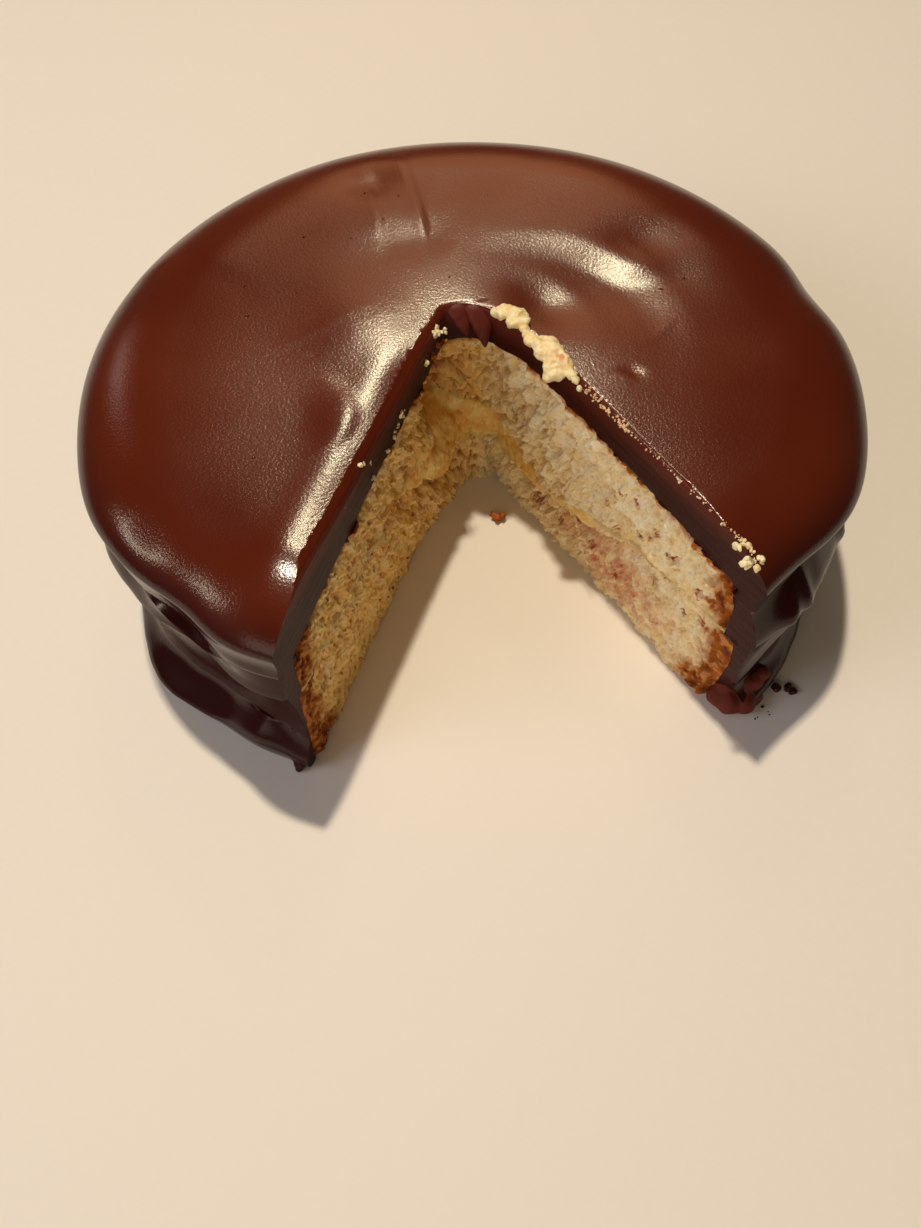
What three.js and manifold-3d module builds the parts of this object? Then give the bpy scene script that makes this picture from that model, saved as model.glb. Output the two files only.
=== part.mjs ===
// A round two-layer sponge cake with a custard filling, poured over with a thick chocolate glaze.
// One slice has been taken out, so both cut faces and the torn wall between them show the layers.
// Millimetres, +Z up, standing on z = 0. Everything is first written about the cake's own axis, with
// the missing slice towards -Y; at the end the origin moves to the middle of the whole footprint.
import * as THREE from "three";
import { mergeVertices } from "three/addons/utils/BufferGeometryUtils.js";
import Module from "manifold-3d";

const wasm = await Module();
wasm.setup();

const degrees = THREE.MathUtils.degToRad;

// Driving dimensions
const columns = 60; // facets round the cake
const gap = 0.3; // clearance between neighbouring pieces
const cakeHeight = 70; // floor to the middle of the glazed top
const shoulderRadius = 106; // mean radius of the widest part of the glazed top's rounded edge
const shoulderZ = 60; // height of that widest part
const shoulderReach = 25; // how far in from it the top starts to fall away
const topTilt = 0.012; // rise of the glazed top towards +Y, for each millimetre
const upperRadius = 90; // upper sponge layer
const lowerRadius = 91.5; // lower sponge layer
const spongeHeight = 58.8; // top of the upper sponge at the middle
const jointHeight = 35; // joint between the layers, at the rim
const fillingHalf = 1.3; // half the custard's thickness at the rim

// The slice: two knife cuts that meet behind the axis, and a torn wall where its tip broke off
const cutStart = new THREE.Vector2(-0.7, 33.9); // where the two cut planes meet
const leftCut = degrees(-110.5);
const rightCut = degrees(-56.6);
const tornFrom = 17; // distance along each cut at which the torn wall begins
const cutReach = 190; // distance along each cut at which the cutter ends, outside the cake

const bell = (x, centre, width) => Math.exp(-(((x - centre) / width) ** 2));
const turnBetween = (a, b) => Math.atan2(Math.sin(a - b), Math.cos(a - b));
const nearAngle = (angle, centre, width) => bell(turnBetween(angle, degrees(centre)), 0, degrees(width));
const nearPoint = (x, y, spot) => bell(Math.hypot(x - spot.x, y - spot.y), 0, spot.spread);

// Shallow hollows that the spatula left in the glazed top
const dents = [
  { x: 14, y: 48, spread: 17, depth: 1.3 },
  { x: 36, y: 22, spread: 15, depth: 1.1 },
  { x: -16, y: 60, spread: 14, depth: 0.9 },
  { x: -38, y: 2, spread: 13, depth: 0.8 },
];

const rimSag = { leftSide: 4.5, elsewhere: 1 }; // how much lower the sponge's rim is than its middle
const lipLift = 2.6; // raised lip of glaze over the rim beside the left cut

// Where the filling dips towards the middle, and where it is thickest
const jointDip = { x: 16, y: 0, spread: 34, depth: 20 };
const custardHeart = { x: -10, y: 8, spread: 24, above: 15, below: 6 };

function glazeTop(x, y) {
  const angle = Math.atan2(y, x);
  const lip = lipLift * bell(Math.hypot(x, y), 78, 12) * nearAngle(angle, -112, 22);
  const level = cakeHeight + topTilt * y + lip;
  return dents.reduce((z, dent) => z - dent.depth * nearPoint(x, y, dent), level);
}

function spongeTop(x, y) {
  const angle = Math.atan2(y, x);
  const sag = 4 + rimSag.elsewhere + (rimSag.leftSide - rimSag.elsewhere) * nearAngle(angle, -120, 60);
  return spongeHeight - sag * (Math.hypot(x, y) / upperRadius) ** 1.8;
}

const joint = (x, y) => jointHeight - jointDip.depth * nearPoint(x, y, jointDip);
const custardTop = (x, y) => joint(x, y) + fillingHalf + custardHeart.above * nearPoint(x, y, custardHeart);
const custardUnder = (x, y) => joint(x, y) - fillingHalf - custardHeart.below * nearPoint(x, y, custardHeart);

// The glaze's side, as distance from the axis, from the shoulder down to the floor
function glazeSide(angle) {
  const leftEnd = nearAngle(angle, -112, 13); // pulled in where the left cut ends
  const rightEnd = nearAngle(angle, -58, 12); // and, less, where the right cut ends
  const skirt = nearAngle(angle, -27, 17) + nearAngle(angle, -152, 14); // lower tier swelling out
  const front = nearAngle(angle, -90, 75); // where the waist is deeper
  const wave = 0.8 * Math.sin(3 * angle + 0.6) + 0.5 * Math.sin(7 * angle);
  const notch = 2.4 * nearAngle(angle, 18, 7);
  const oval = -0.9 * Math.sin(angle) - 1.5 * Math.cos(2 * angle);
  const shoulder = shoulderRadius + oval + 0.5 * wave - notch;
  return [
    { z: shoulderZ, r: shoulder - 13 * leftEnd - 7.2 * rightEnd },
    { z: 55, r: shoulder - 2 - 12.5 * leftEnd - 7.1 * rightEnd },
    { z: 50 + 1.5 * Math.sin(2 * angle), r: 100.5 - 5.4 * front + 0.4 * wave - 3.6 * leftEnd },
    { z: 41, r: 101.4 - 2.6 * front - wave - 5 * leftEnd - 4.2 * rightEnd + 2 * skirt },
    { z: 31, r: 100 - 3.8 * front + 0.6 * wave + 2.5 * rightEnd + 3.5 * skirt },
    { z: 17, r: 101.5 - 2.2 * front + wave + 2.5 * skirt - 3 * leftEnd },
    { z: 6, r: 103 - 0.8 * front + wave + 1.2 * skirt - 6.2 * leftEnd + 1.5 * rightEnd },
    { z: 2, r: 101.6 + wave + skirt - 6 * leftEnd + rightEnd },
    { z: 0, r: 99.5 + wave + skirt - 5 * leftEnd + rightEnd },
  ];
}

// A closed surface over rings of equal length, with a fan over the first ring and over the last.
// Each four-sided face is split from its inner corner, so that two facing surfaces are split alike.
function wrap(rings) {
  const count = rings[0].length;
  const sum = (ring) => ring.reduce((total, point) => total.add(point), new THREE.Vector3());
  const middle = (ring) => sum(ring).divideScalar(count);
  const points = [...rings.flat(), middle(rings[0]), middle(rings.at(-1))];
  const [firstMiddle, lastMiddle] = [points.length - 2, points.length - 1];
  const lastRing = count * (rings.length - 1);
  const reach = (index) => Math.hypot(points[index].x, points[index].y);
  const triangles = [];
  for (let i = 0; i < count; i++) {
    const next = (i + 1) % count;
    triangles.push(firstMiddle, i, next, lastMiddle, lastRing + next, lastRing + i);
    for (let start = 0; start < lastRing; start += count) {
      const [a, b] = [start + i, start + next];
      const [c, d] = [a + count, b + count];
      triangles.push(...(reach(a) < reach(c) ? [a, c, d, a, d, b] : [a, c, b, b, c, d]));
    }
  }
  return new THREE.BufferGeometry().setFromPoints(points).setIndex(triangles);
}

// A body turned about the axis whose outline, top middle to bottom middle, may change with the angle.
// The outline is a list of {r, z}, where z is a height or a height field of x and y.
function turned(outlineAt) {
  const angles = Array.from({ length: columns }, (_, i) => (2 * Math.PI * i) / columns);
  const outlines = angles.map(outlineAt);
  const rings = outlines[0].map((_, step) => outlines.map((outline, i) => {
    const [x, y] = [outline[step].r * Math.cos(angles[i]), outline[step].r * Math.sin(angles[i])];
    const z = outline[step].z;
    return new THREE.Vector3(x, y, typeof z === "function" ? z(x, y) : z);
  }));
  return wrap(rings);
}

function asSolid(geometry) {
  geometry.deleteAttribute("uv");
  geometry.deleteAttribute("normal");
  const merged = mergeVertices(geometry);
  const vertProperties = new Float32Array(merged.attributes.position.array);
  const triVerts = new Uint32Array(merged.index.array);
  return new wasm.Manifold(new wasm.Mesh({ numProp: 3, vertProperties, triVerts }));
}

function asMesh(name, solid, material) {
  const { vertProperties, triVerts } = solid.getMesh();
  const geometry = new THREE.BufferGeometry();
  geometry.setAttribute("position", new THREE.Float32BufferAttribute(vertProperties, 3));
  geometry.setIndex(Array.from(triVerts));
  geometry.computeVertexNormals();
  const mesh = new THREE.Mesh(geometry, material);
  mesh.name = name;
  return mesh;
}

const raised = (field, lift) => (x, y) => field(x, y) + lift;
const innerRings = [14, 28, 42, 56, 70]; // ring radii shared by the sponge layers and the custard

function glazeShell() {
  return turned((angle) => {
    const side = glazeSide(angle);
    const shoulder = side[0];
    const rolls = [0.14, 0.32, 0.52, 0.72, 0.88].map((turn) => {
      const r = shoulder.r - shoulderReach * (1 - Math.sin((turn * Math.PI) / 2));
      const fall = Math.cos((turn * Math.PI) / 2) ** 1.15;
      return { r, z: (x, y) => shoulderZ + (glazeTop(x, y) - shoulderZ) * fall };
    });
    return [
      ...[12, 26, 40, 54, 66].map((r) => ({ r, z: glazeTop })),
      { r: shoulder.r - shoulderReach, z: glazeTop },
      ...rolls,
      ...side,
      { r: lowerRadius + gap, z: 0 },
      { r: lowerRadius + gap, z: jointHeight - fillingHalf },
      { r: upperRadius + gap, z: jointHeight - fillingHalf + gap },
      { r: upperRadius + gap, z: 47 },
      { r: upperRadius - 2, z: raised(spongeTop, gap - 1.5) },
      { r: upperRadius - 6, z: raised(spongeTop, gap) },
      ...innerRings.toReversed().map((r) => ({ r, z: raised(spongeTop, gap) })),
    ];
  });
}

function upperSponge() {
  return turned(() => [
    ...innerRings.map((r) => ({ r, z: spongeTop })),
    { r: upperRadius - 6, z: spongeTop },
    { r: upperRadius - 2, z: raised(spongeTop, -1.5 - gap) },
    { r: upperRadius, z: 47 - gap },
    { r: upperRadius, z: raised(custardTop, gap) },
    ...innerRings.toReversed().map((r) => ({ r, z: raised(custardTop, gap) })),
  ]);
}

function custardFilling() {
  return turned(() => [
    ...innerRings.map((r) => ({ r, z: custardTop })),
    { r: upperRadius, z: custardTop },
    { r: upperRadius, z: raised(custardUnder, 2 * gap) },
    ...innerRings.toReversed().map((r) => ({ r, z: custardUnder })),
  ]);
}

function lowerSponge() {
  return turned(() => [
    ...innerRings.map((r) => ({ r, z: raised(custardUnder, -gap) })),
    { r: lowerRadius, z: raised(custardUnder, -gap) },
    { r: lowerRadius, z: 2 },
    { r: lowerRadius - 1.5, z: 0 },
  ]);
}

// Relief of the cut faces. Each patch is centred at a distance along its cut and a height, and spreads
// so far each way. A positive depth is dug into the cake, a negative one swells into the gap.
const leftRelief = [
  { along: 20, z: 0, wide: 20, tall: 20, depth: -5 }, // lower layer, near the tip
  { along: 22, z: 47, wide: 11, tall: 8, depth: 4 }, // hollow torn out under the glaze
  { along: 32, z: 36, wide: 14, tall: 8, depth: -4 }, // custard pushed out
  { along: 28, z: 17, wide: 16, tall: 4, depth: 2 }, // undercut below the custard
  { along: 75, z: 75, wide: 90, tall: 6.5, depth: 6 }, // glaze edge rolled over by the knife
];
const rightRelief = [
  { along: 30, z: 0, wide: 16, tall: 16, depth: -1.5 }, // lower layer, near the tip
  { along: 40, z: 51, wide: 10, tall: 5, depth: 2.2 }, // smooth trough slanting down the upper layer
  { along: 52, z: 46, wide: 10, tall: 5, depth: 2.6 },
  { along: 64, z: 40, wide: 9, tall: 5, depth: 2.2 },
  { along: 46, z: 14, wide: 12, tall: 3.5, depth: 2 }, // undercut along the joint
  { along: 86, z: 30, wide: 14, tall: 3.5, depth: 1.6 },
  { along: 61, z: 26, wide: 7, tall: 4, depth: -2.4 }, // blob of filling
];
const dug = (patches, along, z) =>
  patches.reduce((sum, p) => sum + p.depth * bell(along, p.along, p.wide) * bell(z, p.z, p.tall), 0);

// A point of a cut face: side is +1 on the right cut and -1 on the left one
function cutPoint(along, z, heading, side, patches) {
  const sideways = heading + (side * Math.PI) / 2;
  const depth = dug(patches, along, z);
  return new THREE.Vector3(
    cutStart.x + along * Math.cos(heading) + depth * Math.cos(sideways),
    cutStart.y + along * Math.sin(heading) + depth * Math.sin(sideways),
    z,
  );
}

// The space of the missing slice, as outlines stacked from above the cake to below the floor
function sliceSpace() {
  const levels = [82, 74, 71, 68.5, 65.5, 60, 55, 50, 45, 40, 36, 32, 28, 24, 20, 16, 11, 5, -5];
  const steps = [17, 22, 28, 34, 40, 47, 54, 61, 68, 77, 86, 96, 106, 118, cutReach];
  const tornWall = [{ x: 5, y: 21.5 }, { x: -1, y: 20.2 }];
  return wrap(levels.map((z) => [
    ...steps.toReversed().map((along) => cutPoint(along, z, rightCut, 1, rightRelief)),
    ...tornWall.map(({ x, y }) => new THREE.Vector3(x, y - 2.5 * bell(z, 4, 14), z)),
    ...steps.map((along) => cutPoint(along, z, leftCut, -1, leftRelief)),
  ]));
}

// A lump that rests on a flat underside at baseZ, turned in plan
function lump({ x, y, baseZ, long, wide, high, heading }) {
  const geometry = new THREE.SphereGeometry(1, 14, 8).rotateX(Math.PI / 2);
  geometry.scale(long / 2, wide / 2, high * 0.62).translate(0, 0, high * 0.38);
  const position = geometry.attributes.position;
  for (let i = 0; i < position.count; i++) {
    position.setZ(i, Math.max(0, position.getZ(i)));
  }
  return geometry.rotateZ(degrees(heading)).translate(x, y, baseZ);
}

const leftDrip = { x: -46, y: -83, baseZ: 0, long: 15, wide: 10, high: 11, heading: -100 };
const rightFoot = { x: 73, y: -64, baseZ: 0, long: 19, wide: 11, high: 14, heading: 25 };
const smearPlace = { x: 20, y: 5, baseZ: cakeHeight + 0.5, long: 33, wide: 8, high: 4, heading: -56.6 };

const chocolate = new THREE.MeshStandardMaterial({ color: 0x4a2013, roughness: 0.32, metalness: 0 });
const spongeUpper = new THREE.MeshStandardMaterial({ color: 0xcdb98c, roughness: 0.95, metalness: 0 });
const spongeLower = new THREE.MeshStandardMaterial({ color: 0xc4a878, roughness: 0.95, metalness: 0 });
const custard = new THREE.MeshStandardMaterial({ color: 0xdfc06a, roughness: 0.6, metalness: 0 });
const cream = new THREE.MeshStandardMaterial({ color: 0xf0deaa, roughness: 0.7, metalness: 0 });

const slice = asSolid(sliceSpace());
const sliced = (geometry) => asSolid(geometry).subtract(slice);
const insideGlaze = turned(() => [jointHeight / 2, -1].map((z) => ({ r: lowerRadius + gap, z })));
const feet = asSolid(lump(leftDrip)).add(asSolid(lump(rightFoot))).subtract(asSolid(insideGlaze));

const cake = new THREE.Group();
cake.add(asMesh("glaze", sliced(glazeShell()).add(feet), chocolate));
cake.add(asMesh("sponge_top", sliced(upperSponge()), spongeUpper));
cake.add(asMesh("custard", sliced(custardFilling()), custard));
cake.add(asMesh("sponge_bottom", sliced(lowerSponge()), spongeLower));
cake.add(asMesh("cream_smear", asSolid(lump(smearPlace)), cream));

const bounds = new THREE.Box3().setFromObject(cake);
const middle = bounds.getCenter(new THREE.Vector3());
cake.position.set(-middle.x, -middle.y, -bounds.min.z);

export default new THREE.Group().add(cake);
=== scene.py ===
import itertools
import math

import bmesh
import bpy
import numpy as np
from mathutils import Matrix, Vector
from mathutils.bvhtree import BVHTree
from mathutils.kdtree import KDTree


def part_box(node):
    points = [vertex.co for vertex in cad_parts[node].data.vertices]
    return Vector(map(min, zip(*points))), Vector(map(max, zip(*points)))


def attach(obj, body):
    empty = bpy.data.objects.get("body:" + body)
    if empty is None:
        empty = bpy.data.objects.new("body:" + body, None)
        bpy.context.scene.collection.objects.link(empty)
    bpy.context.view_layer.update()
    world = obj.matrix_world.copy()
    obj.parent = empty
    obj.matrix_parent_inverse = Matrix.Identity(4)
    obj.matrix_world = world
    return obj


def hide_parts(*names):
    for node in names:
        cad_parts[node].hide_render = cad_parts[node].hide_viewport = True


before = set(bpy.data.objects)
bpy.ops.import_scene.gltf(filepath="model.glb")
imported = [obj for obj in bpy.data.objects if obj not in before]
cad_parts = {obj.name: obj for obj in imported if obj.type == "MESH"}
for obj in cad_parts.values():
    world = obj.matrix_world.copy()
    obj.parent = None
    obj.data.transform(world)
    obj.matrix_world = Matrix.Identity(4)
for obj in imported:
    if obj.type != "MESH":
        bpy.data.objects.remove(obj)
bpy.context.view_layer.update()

# Shapes are worked out in millimetres about the cake's own axis, with the missing slice towards -Y.
cake = {
    "height": 70.0,  # floor to the glazed top
    "shoulderRadius": 105.4,  # mean radius of the widest part of the rounded edge
    "shoulderZ": 60.0,
    "shoulderReach": 25.0,  # how far in from there the top starts to fall
    "topTilt": 0.012,  # rise of the top towards +Y
    "upperRadius": 90.0,
    "lowerRadius": 91.5,
    "spongeHeight": 58.8,
    "jointHeight": 35.0,  # joint between the layers, at the rim
}
wedge = {  # the missing slice
    "start": (-0.7, 33.9),  # where the two cut planes meet
    "left": -110.5,  # ways of the cuts, in degrees
    "right": -56.6,
    "tornFrom": 17.0,  # distance along each cut at which the torn wall begins
    "shownTo": 123.0,  # and at which the cake ends
    "reach": 190.0,
    "step": 0.36,
    "tornHalf": 8.0,
}
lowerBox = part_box("sponge_bottom")
axisX = (lowerBox[0].x + lowerBox[1].x) / 2
axisY = lowerBox[1].y - cake["lowerRadius"] / 1000


def toFrame(points):
    return np.asarray(points) / 1000 + np.array([axisX, axisY, 0.0])


# small maths, all on arrays

def bell(x, centre, width):
    return np.exp(-(((x - centre) / width) ** 2))


def ramp(low, high, x):
    t = np.clip((x - low) / (high - low), 0, 1)
    return t * t * (3 - 2 * t)


def nearAngle(angle, centre, width):
    turn = np.arctan2(np.sin(angle - math.radians(centre)), np.cos(angle - math.radians(centre)))
    return bell(turn, 0, math.radians(width))


def gradientNoise(seed):
    rng = np.random.default_rng(seed)
    order = rng.permutation(256)
    slopes = rng.normal(size=(256, 3))
    slopes /= np.linalg.norm(slopes, axis=1, keepdims=True)

    def noise(points):
        cell = np.floor(points).astype(int)
        part = points - cell
        ease = part ** 3 * (part * (part * 6 - 15) + 10)
        total = np.zeros(points.shape[:-1])
        for corner in itertools.product((0, 1), repeat=3):
            at = (cell + corner) & 255
            pick = order[(order[(order[at[..., 0]] + at[..., 1]) & 255] + at[..., 2]) & 255]
            weight = np.prod(np.where(corner, ease, 1 - ease), axis=-1)
            total += weight * ((part - corner) * slopes[pick]).sum(-1)
        return total * 1.7

    return noise


grain = gradientNoise(5)


def rough(points, size, octaves=3):
    # noise about 0 whose largest lumps are about size across
    total = 0.0
    for octave in range(octaves):
        total = total + 0.5 ** octave * grain(points * (2 ** octave / size) + 19.7 * octave)
    return total


def cells(across, up, spacing, seed):
    # distance to the nearest and to the second nearest of scattered spots, and a value for each spot
    spots = np.random.default_rng(seed).random((64, 64, 3))
    column = np.floor(across / spacing).astype(int)
    row = np.floor(up / spacing).astype(int)
    first = np.full(across.shape, 99.0)
    second = first.copy()
    value = np.zeros(across.shape)
    for dx, dy in itertools.product((-1, 0, 1), repeat=2):
        spot = spots[(column + dx) % 64, (row + dy) % 64]
        x = (column + dx + spot[..., 0]) * spacing
        y = (row + dy + spot[..., 1]) * spacing
        away = np.hypot(across - x, up - y)
        second = np.minimum(second, np.maximum(first, away))
        value = np.where(away < first, spot[..., 2], value)
        first = np.minimum(first, away)
    return first, second, value


def pits(across, up, spacing, seed, share):
    # 1 in the middle of each scattered hole, 0 outside
    first, second, value = cells(across, up, spacing, seed)
    radius = spacing * (0.22 + 0.5 * (value % 0.17) / 0.17)
    return np.where(value < share, np.maximum(0, 1 - (first / radius) ** 2), 0)


# the cake's own surfaces, as heights over x and y

poured = {  # marks that the spatula and the knife left on the glazed top
    "ripples": [  # crescent troughs: x, y, radius, width, lift where each ends, towards, spread (degrees)
        (14, 5, 40.5, 7.2, 1.75, 49, 38),
        (7, 10, 22.0, 6.0, 1.3, 40, 36),
        (46, 31, 22, 8, 0.8, 78, 40),
        (36, 26, 27, 7, 0.45, 10, 22),
        (-27, 58, 23, 7, 1.0, 100, 30),
        (-12, 34, 20, 8, 0.45, 100, 40),
        (-45, -20, 15.5, 2.2, -0.55, 4, 52),
        (40, -8, 4, 1.8, 0.4, 50, 60),
        (-70, -45, 17, 4.5, 0.8, -130, 30),
        (-84, 10, 30, 4.0, 0.5, 100, 50),
    ],
    "dents": [
        {"x": -13, "y": -13, "spread": 13, "depth": 0.8},
        {"x": -30, "y": 13, "spread": 16, "depth": -1.0},
        {"x": -50, "y": 50, "spread": 16, "depth": 0.5},
        {"x": 6, "y": 82, "spread": 12, "depth": 0.5},
    ],
    "creases": [  # ends of short folds, each falling away on its left: from, to, lift, width, edge
        ((-11.3, 42.4), (-18.3, 89.3), 0.6, 7.0, 1.2),
        ((-24.0, 44.0), (-30.0, 84.0), 0.4, 6.0, 1.0),
        ((44.0, 47.5), (50.0, 37.5), 0.3, 1.6, 0.6),
        ((43.5, 2.5), (58.0, 14.5), 0.14, 1.8, 0.6),
        ((-57.0, 0.0), (-25.0, 19.0), 0.07, 3.0, 1.2),
    ],
    "cutLip": {"lift": 0.35, "inFrom": 8.0, "width": 5.0, "from": 14, "to": -8},  # along the left cut
    "edgeFall": {"depth": 0.5, "inFrom": -1.0, "width": 5.0},  # and then falling towards the cut
    "rimLip": {"lift": 1.8, "radius": 78, "width": 12, "angle": -112, "spread": 22},
}
layers = {  # of sponge and custard
    "sag": {"all": 5, "left": 3.5, "angle": -120, "width": 60},  # fall of the upper sponge at its rim
    "bulge": {"out": 3.2, "angle": -47, "width": 9, "z": 26, "tall": 13},  # lower sponge, right cut
    "jointDip": {"x": 16, "y": 0, "spread": 34, "depth": 20},
    "heart": {"x": -10, "y": 8, "spread": 24, "above": 15, "below": 6},  # thick middle of the custard
    "blob": {"x": 31, "y": -15, "spread": 8, "above": 4.5},
    "thinHalf": 0.5,  # half of the custard's thickness away from them
}


def nearSpot(x, y, spot):
    return bell(np.hypot(x - spot["x"], y - spot["y"]), 0, spot["spread"])


def ripple(x, y, wave):
    middleX, middleY, radius, width, lift, towards, spread = wave
    away = np.hypot(x - middleX, y - middleY)
    turn = nearAngle(np.arctan2(y - middleY, x - middleX), towards, spread)
    trough = ramp(0.1, 0.75, away / radius) * ramp(radius + width, radius - width, away)
    return lift * turn * trough


def crease(x, y, fold):
    start, end = np.array(fold[0]), np.array(fold[1])
    lift, width, edge = fold[2:]
    length = math.hypot(*(end - start))
    ahead = (end - start) / length
    along = (x - start[0]) * ahead[0] + (y - start[1]) * ahead[1]
    left = (y - start[1]) * ahead[0] - (x - start[0]) * ahead[1]
    left = left + 0.8 * np.sin(along / length * 5)
    fade = ramp(-5, 14, along) * ramp(length + 3, length - 8, along)
    return lift * fade * ramp(-edge, edge / 2, left) * np.exp(-np.maximum(left, 0) / width)


def glazeTop(x, y):
    rim, lip, fall = poured["rimLip"], poured["cutLip"], poured["edgeFall"]
    raised = rim["lift"] * bell(np.hypot(x, y), rim["radius"], rim["width"])
    raised = raised * nearAngle(np.arctan2(y, x), rim["angle"], rim["spread"])
    turn = math.radians(wedge["left"])
    startX, startY = wedge["start"]
    fromCut = (x - startX) * math.sin(turn) - (y - startY) * math.cos(turn)
    outer = ramp(lip["from"], lip["to"], y)
    raised = raised + lip["lift"] * (bell(fromCut, lip["inFrom"], lip["width"]) * outer)
    drop = bell(fromCut, fall["inFrom"], fall["width"]) * outer
    raised = raised - fall["depth"] * drop * ramp(-12, -1, fromCut)
    flat = np.stack([x, y, 0 * x], axis=-1)
    level = cake["height"] + cake["topTilt"] * y + raised + 0.4 * rough(flat, 55, 2)
    level = level + sum(crease(x, y, fold) for fold in poured["creases"])
    level = level - sum(dent["depth"] * nearSpot(x, y, dent) for dent in poured["dents"])
    return level - sum(ripple(x, y, wave) for wave in poured["ripples"])


def spongeTop(x, y):
    sag = layers["sag"]
    fall = sag["all"] + sag["left"] * nearAngle(np.arctan2(y, x), sag["angle"], sag["width"])
    return cake["spongeHeight"] - fall * (np.hypot(x, y) / cake["upperRadius"]) ** 1.8


def lowerSide(angle, z):
    bulge = layers["bulge"]
    out = bulge["out"] * nearAngle(angle, bulge["angle"], bulge["width"])
    return cake["lowerRadius"] + out * bell(z, bulge["z"], bulge["tall"])


def jointAt(x, y):
    return cake["jointHeight"] - layers["jointDip"]["depth"] * nearSpot(x, y, layers["jointDip"])


def custardTop(x, y):
    heart, blob = layers["heart"], layers["blob"]
    top = jointAt(x, y) + layers["thinHalf"] + heart["above"] * nearSpot(x, y, heart)
    return top + blob["above"] * nearSpot(x, y, blob)


def custardUnder(x, y):
    heart = layers["heart"]
    return jointAt(x, y) - layers["thinHalf"] - heart["below"] * nearSpot(x, y, heart)


# meshes

def addObject(name, data):
    thing = bpy.data.objects.new(name, data)
    bpy.context.scene.collection.objects.link(thing)
    return thing


def makeMesh(name, points, faces):
    mesh = bpy.data.meshes.new(name)
    mesh.from_pydata(toFrame(points).tolist(), [], faces)
    return mesh


def makePiece(name, points, faces, material, replaces=None):
    mesh = makeMesh(name, points, faces)
    mesh.validate()
    piece = addObject(name, mesh)
    dress(piece, material, replaces)
    return piece


def dress(piece, material, replaces=None, sharpFrom=48):
    piece.data.materials.clear()
    piece.data.materials.append(material)
    piece.data.shade_smooth()
    piece.data.set_sharp_from_angle(angle=math.radians(sharpFrom))
    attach(piece, "root")
    if replaces:
        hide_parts(replaces)


def stackRings(rings):
    # closed surface over rings of equal length, first ring uppermost, with a fan over each end
    rings = np.asarray(rings)
    rows, count = rings.shape[:2]
    points = np.concatenate([rings.reshape(-1, 3), rings[[0, -1]].mean(axis=1)])
    faces = []
    for i in range(count):
        after = (i + 1) % count
        faces.append((rows * count, i, after))
        faces.append((rows * count + 1, (rows - 1) * count + after, (rows - 1) * count + i))
    start = np.arange(rows - 1)[:, None] * count
    here = np.arange(count)[None, :]
    after = (here + 1) % count
    quads = np.stack([start + here, start + count + here, start + count + after, start + after], -1)
    return points, faces + quads.reshape(-1, 4).tolist()


def bakeModifiers(piece):
    graph = bpy.context.evaluated_depsgraph_get()
    baked = bpy.data.meshes.new_from_object(piece.evaluated_get(graph))
    piece.modifiers.clear()
    piece.data = baked


def cutSlice(piece, cutter):
    bite = piece.modifiers.new("slice", "BOOLEAN")
    bite.operation = "DIFFERENCE"
    bite.solver = "MANIFOLD"
    bite.object = cutter
    bakeModifiers(piece)


def pointsOf(piece):
    flat = np.empty(len(piece.data.vertices) * 3)
    piece.data.vertices.foreach_get("co", flat)
    return (flat.reshape(-1, 3) - np.array([axisX, axisY, 0.0])) * 1000


def setMask(piece, name, values):
    mask = piece.data.attributes.new(name, "FLOAT", "POINT")
    mask.data.foreach_set("value", np.asarray(values, dtype=np.float32))


# materials

def colour(values):
    # from the 0-255 values that a picture shows
    shares = [v / 255 for v in values]
    return (*[v / 12.92 if v <= 0.04045 else ((v + 0.055) / 1.055) ** 2.4 for v in shares], 1.0)


def softly(weight, radius):
    return {"Subsurface Weight": weight, "Subsurface Radius": radius, "Subsurface Scale": 1.0}


class Recipe:
    # a material in the making; shares, heights and colours are sockets of nodes, or plain values
    def __init__(self, name, fixed):
        self.material = bpy.data.materials.new(name)
        self.material.use_nodes = True
        self.tree = self.material.node_tree
        self.shader = self.tree.nodes["Principled BSDF"]
        for socket, value in fixed.items():
            self.shader.inputs[socket].default_value = value
        self.place = self.add("TexCoord").outputs["Object"]

    def add(self, kind, inputs=None, settings=None):
        node = self.tree.nodes.new("ShaderNode" + kind)
        for name, value in (settings or {}).items():
            setattr(node, name, value)
        for key, value in (inputs or {}).items():
            if isinstance(value, bpy.types.NodeSocket):
                self.tree.links.new(value, node.inputs[key])
            else:
                node.inputs[key].default_value = value
        return node

    def blend(self, share, first, second):
        first, second = [colour(c) if isinstance(c, (tuple, list)) else c for c in (first, second)]
        return self.add("Mix", {0: share, 6: first, 7: second}, {"data_type": "RGBA"}).outputs[2]

    def plus(self, first, second):
        return self.add("Math", {0: first, 1: second}, {"operation": "ADD"}).outputs[0]

    def times(self, first, second):
        return self.add("Math", {0: first, 1: second}, {"operation": "MULTIPLY"}).outputs[0]

    def remap(self, value, low, high, toLow=0.0, toHigh=1.0):
        levels = {"Value": value, "From Min": low, "From Max": high, "To Min": toLow, "To Max": toHigh}
        return self.add("MapRange", levels).outputs[0]

    def speckle(self, millimetres, detail=2.0):
        inputs = {"Vector": self.place, "Scale": 1000 / millimetres, "Detail": detail}
        return self.add("TexNoise", inputs).outputs[0]

    def mask(self, name):
        return self.add("Attribute", settings={"attribute_name": name}).outputs["Fac"]

    def finish(self, tint, roughness, height, strength, depth):
        bump = self.add("Bump", {"Height": height, "Strength": strength, "Distance": depth})
        self.tree.links.new(tint, self.shader.inputs["Base Color"])
        self.tree.links.new(roughness, self.shader.inputs["Roughness"])
        self.tree.links.new(bump.outputs[0], self.shader.inputs["Normal"])
        return self.material


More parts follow.
